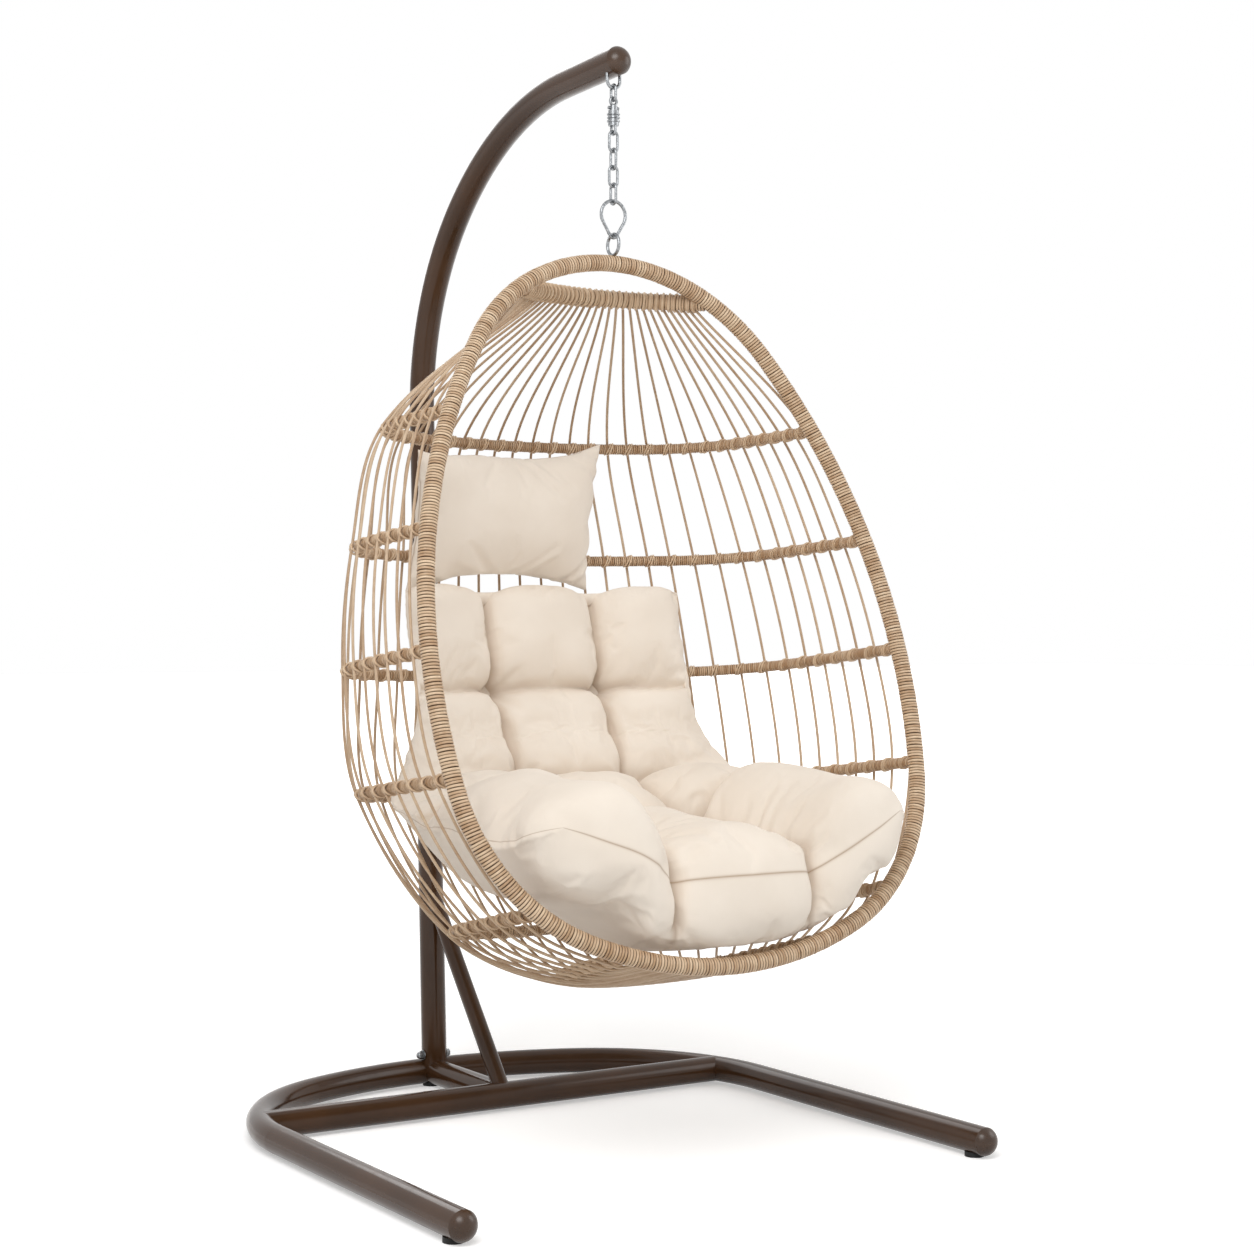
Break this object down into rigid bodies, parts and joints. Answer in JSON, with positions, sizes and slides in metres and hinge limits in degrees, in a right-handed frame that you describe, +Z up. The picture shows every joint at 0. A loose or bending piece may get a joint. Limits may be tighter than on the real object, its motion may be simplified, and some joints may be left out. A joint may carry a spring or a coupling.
{
  "type": "hanging egg chair",
  "caption": "Wicker egg basket with tufted seat cushion and head pillow, hung on a swivelling chain from a bent-tube floor stand.",
  "frame": {"origin": "on the floor, under the middle of the chair's outline", "axes": "+Z up; the sitter faces -Y; +X is the right-hand side as seen from the front"},
  "size_m": [1.08, 1.1693, 1.9432],
  "materials": {
    "bronze_paint": "glossy dark bronze powder coat",
    "cap_plastic": "glossy dark brown moulded end cap",
    "black_rubber": "matt black rubber",
    "zinc_steel": "zinc-plated steel",
    "core_steel": "powder-coated steel core",
    "wicker": "half-round plastic wicker in natural tan",
    "cream_fabric": "plain-weave polyester, cream"
  },
  "bodies": {
    "stand": {"base_tube": "bronze_paint", "cross_tube": "bronze_paint", "spine_tube": "bronze_paint", "column_spigot": "bronze_paint", "column": "bronze_paint", "arm_spigot": "bronze_paint", "arm": "bronze_paint", "brace": "bronze_paint", "column_bolt": "zinc_steel", "column_cap_nut": "zinc_steel", "arm_screws": "zinc_steel", "leg_caps": "cap_plastic", "arm_cap": "cap_plastic", "foot_pads": "black_rubber", "hang_eye": "zinc_steel"},
    "top_link": {"top_link": "zinc_steel"},
    "swivel_head": {"swivel_head": "zinc_steel"},
    "swivel_barrel": {"swivel_barrel": "zinc_steel"},
    "chain_link_1": {"chain_link_1": "zinc_steel"},
    "chain_link_2": {"chain_link_2": "zinc_steel"},
    "chain_link_3": {"chain_link_3": "zinc_steel"},
    "chain_link_4": {"chain_link_4": "zinc_steel"},
    "carabiner": {"carabiner": "zinc_steel"},
    "carabiner_gate": {"carabiner_gate": "zinc_steel", "gate_pin": "zinc_steel"},
    "basket": {"basket_eye": "zinc_steel", "rim_tube": "core_steel", "rim_winding": "wicker", "crown_rod": "core_steel", "crown_winding": "wicker", "hoop_rods": "core_steel", "hoop_1": "wicker", "hoop_2": "wicker", "hoop_3": "wicker", "hoop_4": "wicker", "hoop_5": "wicker", "hoop_6": "wicker", "strands_1": "wicker", "strands_2": "wicker", "strands_3": "wicker", "strands_4": "wicker", "strands_5": "wicker", "strands_6": "wicker", "strands_7": "wicker", "seat_cushion": "cream_fabric", "head_pillow": "cream_fabric", "pillow_loops": "cream_fabric"}
  },
  "joints": [
    {"name": "top_link_swing", "type": "hinge", "parent": "stand", "child": "top_link", "pos_m": [0, -0.16741, 1.87271], "axis": [1, 0, 0], "range_deg": [-15, 15]},
    {"name": "swivel_head_swing", "type": "hinge", "parent": "top_link", "child": "swivel_head", "pos_m": [0, -0.16741, 1.85051], "axis": [0, 1, 0], "range_deg": [-18, 18]},
    {"name": "swivel_turn", "type": "hinge", "parent": "swivel_head", "child": "swivel_barrel", "pos_m": [0, -0.16741, 1.82], "axis": [0, 0, 1], "continuous": true},
    {"name": "link_1_swing", "type": "hinge", "parent": "swivel_barrel", "child": "chain_link_1", "pos_m": [0, -0.16741, 1.79101], "axis": [0, -1, 0], "range_deg": [-15, 15]},
    {"name": "link_2_swing", "type": "hinge", "parent": "chain_link_1", "child": "chain_link_2", "pos_m": [0, -0.16741, 1.76031], "axis": [-1, 0, 0], "range_deg": [-12, 12]},
    {"name": "link_3_swing", "type": "hinge", "parent": "chain_link_2", "child": "chain_link_3", "pos_m": [0, -0.16741, 1.72961], "axis": [0, 1, 0], "range_deg": [-15, 15]},
    {"name": "link_4_swing", "type": "hinge", "parent": "chain_link_3", "child": "chain_link_4", "pos_m": [0, -0.16741, 1.69891], "axis": [1, 0, 0], "range_deg": [-12, 12]},
    {"name": "carabiner_swing", "type": "hinge", "parent": "chain_link_4", "child": "carabiner", "pos_m": [0, -0.16741, 1.66821], "axis": [0, -1, 0], "range_deg": [-18, 18]},
    {"name": "gate_hinge", "type": "hinge", "parent": "carabiner", "child": "carabiner_gate", "pos_m": [-0.00858, -0.16741, 1.61564], "axis": [0, 1, 0], "range_deg": [0, 28], "stiffness_Nm_per_rad": 0.05, "springref_deg": -11.46},
    {"name": "basket_swing", "type": "hinge", "parent": "carabiner", "child": "basket", "pos_m": [0, -0.16741, 1.60901], "axis": [-1, 0, 0], "range_deg": [-15, 15]}
  ]
}
